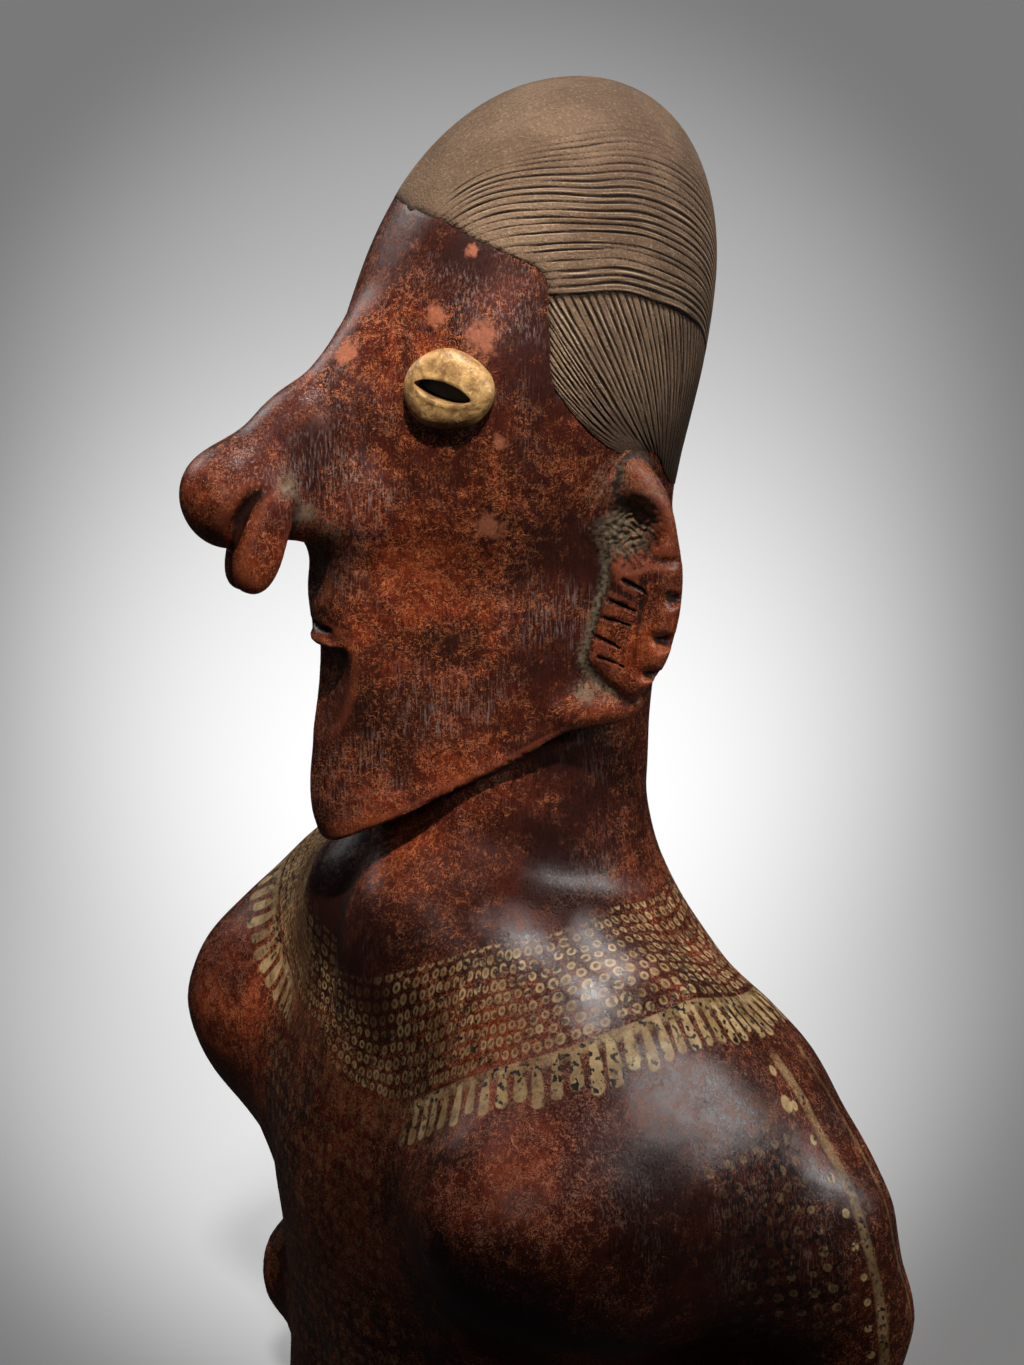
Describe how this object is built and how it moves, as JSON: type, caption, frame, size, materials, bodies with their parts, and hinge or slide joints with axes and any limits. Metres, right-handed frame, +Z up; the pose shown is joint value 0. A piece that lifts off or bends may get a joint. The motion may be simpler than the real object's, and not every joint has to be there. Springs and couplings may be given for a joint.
{
  "type": "ceramic figure bust",
  "caption": "Head and shoulders of a hollow clay figure with a tall head, long nose, applied eyes, notched ears and round shoulders, cut flat below.",
  "frame": {"origin": "on the flat base, in the middle of the overall width and depth", "axes": "+Z up through the head; the figure looks along -Y; +X is the figure's own left side"},
  "size_m": [0.221, 0.1646, 0.3788],
  "materials": {
    "slip": "burnished red-brown slip with cream painted dots, strokes and bands, and matte buff clay hair"
  },
  "bodies": {
    "root": {"figure_bust": "slip"}
  },
  "joints": []
}
